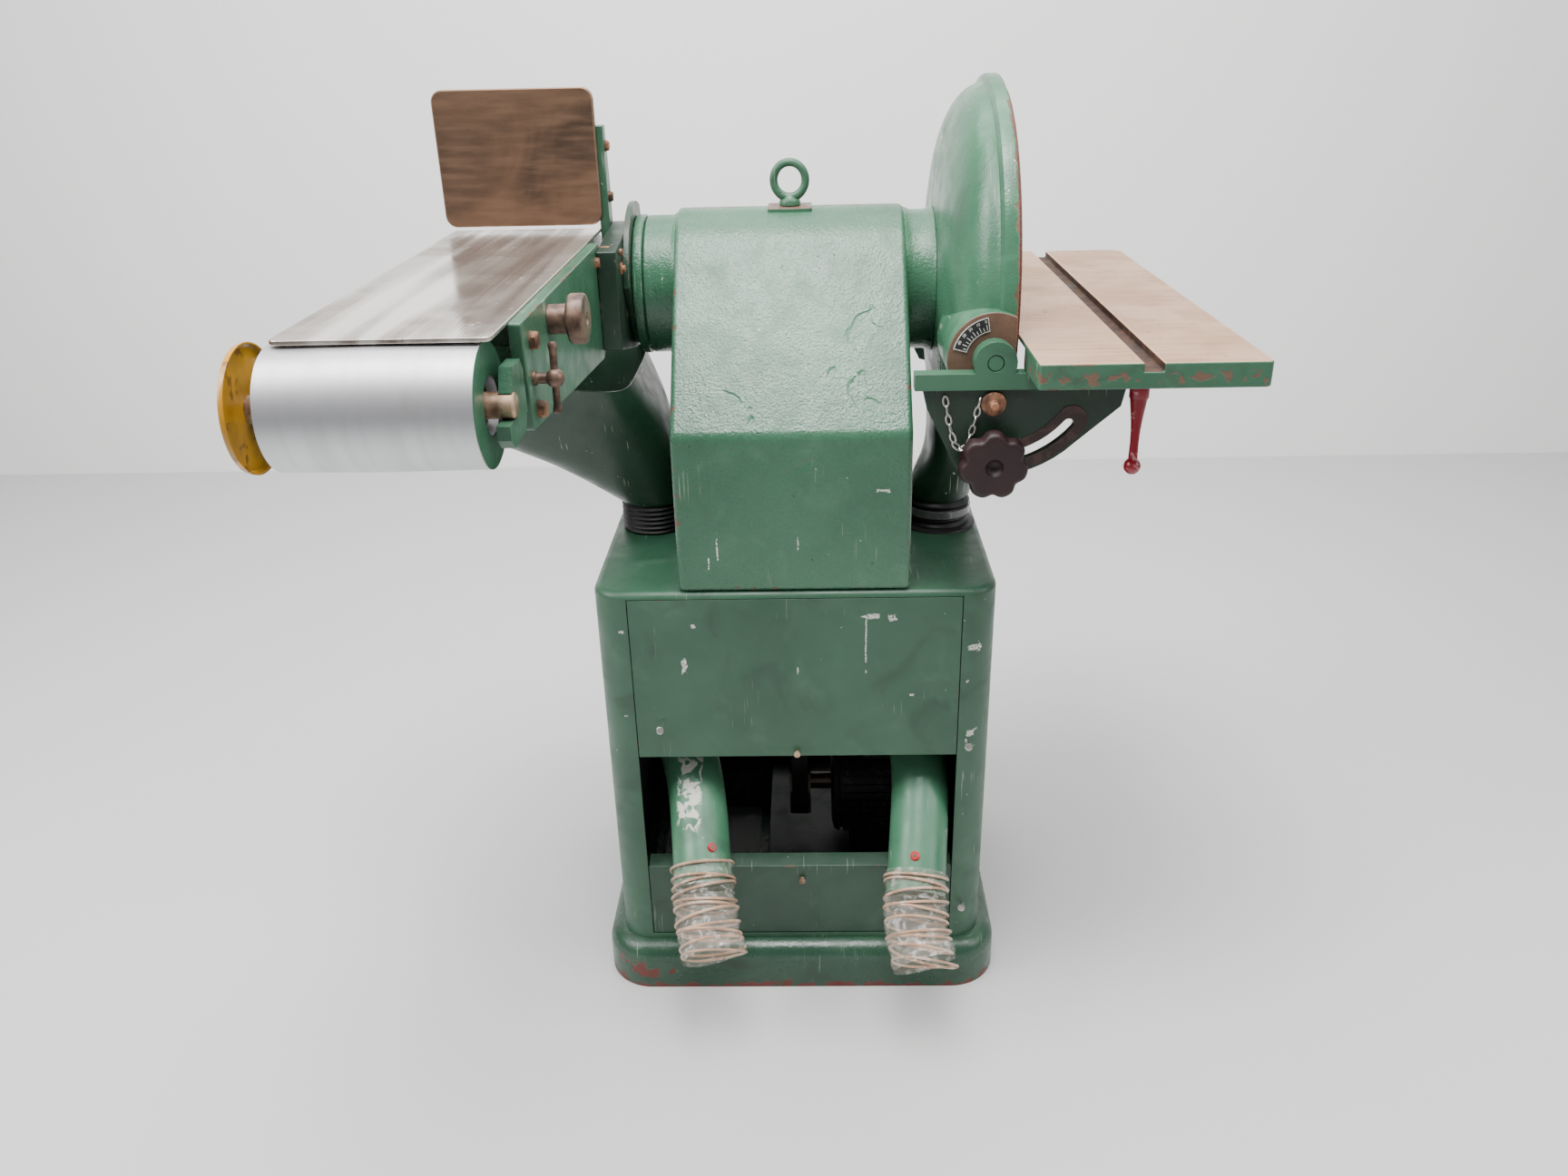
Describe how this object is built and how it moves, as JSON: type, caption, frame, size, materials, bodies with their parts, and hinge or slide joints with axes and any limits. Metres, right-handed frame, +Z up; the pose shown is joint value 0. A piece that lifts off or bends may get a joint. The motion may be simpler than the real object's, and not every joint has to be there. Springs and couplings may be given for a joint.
{
  "type": "belt and disc sander",
  "caption": "Floor-standing belt and disc sander: cabinet stand, spindle head, tilting belt arm with platen and backstop, disc in a bowl guard and tilting table.",
  "frame": {"origin": "on the floor at the centre of the base plinth", "axes": "+Z up; +X from the belt arm towards the disc table; -Y towards the open window of the cabinet"},
  "size_m": [1.043, 1.078, 1.281],
  "materials": {
    "green_paint": "semi-gloss machine green, chipped",
    "clear_plastic": "clear flexible duct film on a copper-coloured spiral",
    "black_rubber": "black, ribbed",
    "worn_steel": "ground steel with brown patina",
    "table_iron": "copper-brown machined iron",
    "turned_aluminium": "turned aluminium",
    "rusty_steel": "brown surface rust",
    "yellow_paint": "golden yellow",
    "red_lever": "worn red",
    "maroon_plastic": "dark maroon",
    "abrasive": "grit",
    "motor_grey": "dark grey",
    "scale_black": "black with pale marks",
    "stop_red": "gloss red",
    "start_green": "gloss green"
  },
  "bodies": {
    "stand": {"base_plinth": "green_paint", "cabinet_shell": "green_paint", "door_panel": "green_paint", "lower_panel": "green_paint", "rear_louvre_panel": "green_paint", "dust_pipe_left": "green_paint", "dust_pipe_right": "green_paint", "outlet_hose_left": "clear_plastic", "outlet_hose_right": "clear_plastic", "belt_hose_left": "black_rubber", "disc_hose_right": "black_rubber", "motor_plate": "green_paint", "motor_body": "motor_grey", "drive_belt": "black_rubber", "head_casting": "green_paint", "end_cap": "green_paint", "bearing_left": "worn_steel", "bearing_right": "worn_steel", "eyebolt": "green_paint", "disc_housing": "green_paint", "disc_duct": "green_paint", "degree_scale": "scale_black", "pivot_pin_front": "green_paint", "pivot_pin_rear": "green_paint", "belt_hood": "green_paint", "starter_box": "motor_grey"},
    "spindle": {"spindle_shaft": "worn_steel", "spindle_pulley": "worn_steel", "rear_drum": "turned_aluminium", "disc_plate": "turned_aluminium", "abrasive_disc": "abrasive"},
    "motor_rotor": {"motor_pulley": "worn_steel"},
    "belt_arm": {"side_plate": "green_paint", "arm_hub": "green_paint", "tilt_quadrant": "worn_steel", "platen": "worn_steel", "platen_bed": "green_paint", "backstop_plate": "worn_steel", "backstop_bracket": "green_paint", "slide_bolt_upper": "rusty_steel", "slide_bolt_lower": "rusty_steel"},
    "roller_carriage": {"roller_fork": "green_paint", "idler_axle": "rusty_steel", "end_guard": "yellow_paint"},
    "idler": {"front_roller": "turned_aluminium"},
    "slide_lock": {"lock_handle": "rusty_steel"},
    "tracking": {"tracking_knob": "rusty_steel"},
    "table": {"disc_table": "table_iron", "trunnion_front": "green_paint", "trunnion_rear": "green_paint", "pin_chain": "worn_steel"},
    "front_knob": {"lock_knob_front": "maroon_plastic"},
    "rear_knob": {"lock_knob_rear": "maroon_plastic"},
    "front_lever": {"clamp_lever_front": "red_lever"},
    "rear_lever": {"clamp_lever_rear": "red_lever"},
    "table_pin": {"index_pin": "rusty_steel"},
    "start": {"start_button": "start_green"},
    "stop": {"stop_button": "stop_red"}
  },
  "joints": [
    {"name": "spindle_spin", "type": "hinge", "parent": "stand", "child": "spindle", "pos_m": [0, 0.025, 1.017], "axis": [1, 0, 0], "continuous": true},
    {"name": "motor_spin", "type": "hinge", "parent": "stand", "child": "motor_rotor", "pos_m": [0, 0.025, 0.1846], "axis": [1, 0, 0], "continuous": true},
    {"name": "arm_tilt", "type": "hinge", "parent": "stand", "child": "belt_arm", "pos_m": [0, 0.025, 1.017], "axis": [1, 0, 0], "range_deg": [-90, 0]},
    {"name": "roller_tension", "type": "slide", "parent": "belt_arm", "child": "roller_carriage", "axis": [0, -1, 0], "range_m": [-0.005, 0.02]},
    {"name": "idler_spin", "type": "hinge", "parent": "roller_carriage", "child": "idler", "pos_m": [0, -0.617, 1.0305], "axis": [1, 0, 0], "continuous": true},
    {"name": "slide_lock_turn", "type": "hinge", "parent": "belt_arm", "child": "slide_lock", "pos_m": [-0.2455, -0.537, 1.034], "axis": [1, 0, 0], "range_deg": [-90, 90]},
    {"name": "tracking_turn", "type": "hinge", "parent": "belt_arm", "child": "tracking", "pos_m": [-0.2455, -0.438, 1.07], "axis": [1, 0, 0], "range_deg": [-180, 180]},
    {"name": "table_tilt", "type": "hinge", "parent": "stand", "child": "table", "pos_m": [0.2465, 0.025, 0.972], "axis": [0, 1, 0], "range_deg": [0, 45]},
    {"name": "front_knob_turn", "type": "hinge", "parent": "stand", "child": "front_knob", "pos_m": [0.2465, -0.249, 0.851], "axis": [0, 1, 0], "range_deg": [-180, 180]},
    {"name": "rear_knob_turn", "type": "hinge", "parent": "stand", "child": "rear_knob", "pos_m": [0.2465, 0.299, 0.851], "axis": [0, 1, 0], "range_deg": [-180, 180]},
    {"name": "front_lever_turn", "type": "hinge", "parent": "table", "child": "front_lever", "pos_m": [0.42292, -0.259, 0.92], "axis": [0, 0, 1], "range_deg": [-60, 60]},
    {"name": "rear_lever_turn", "type": "hinge", "parent": "table", "child": "rear_lever", "pos_m": [0.42292, 0.309, 0.92], "axis": [0, 0, 1], "range_deg": [-60, 60]},
    {"name": "pin_pull", "type": "slide", "parent": "table", "child": "table_pin", "axis": [0, -1, 0], "range_m": [0, 0.03]},
    {"name": "start_press", "type": "slide", "parent": "stand", "child": "start", "axis": [0, -1, 0], "range_m": [0, 0.004], "stiffness_N_per_m": 600},
    {"name": "stop_press", "type": "slide", "parent": "stand", "child": "stop", "axis": [0, -1, 0], "range_m": [0, 0.004], "stiffness_N_per_m": 600}
  ],
  "couplings": [
    {"joint": "motor_spin", "follows": "spindle_spin", "ratio": 0.89583}
  ]
}
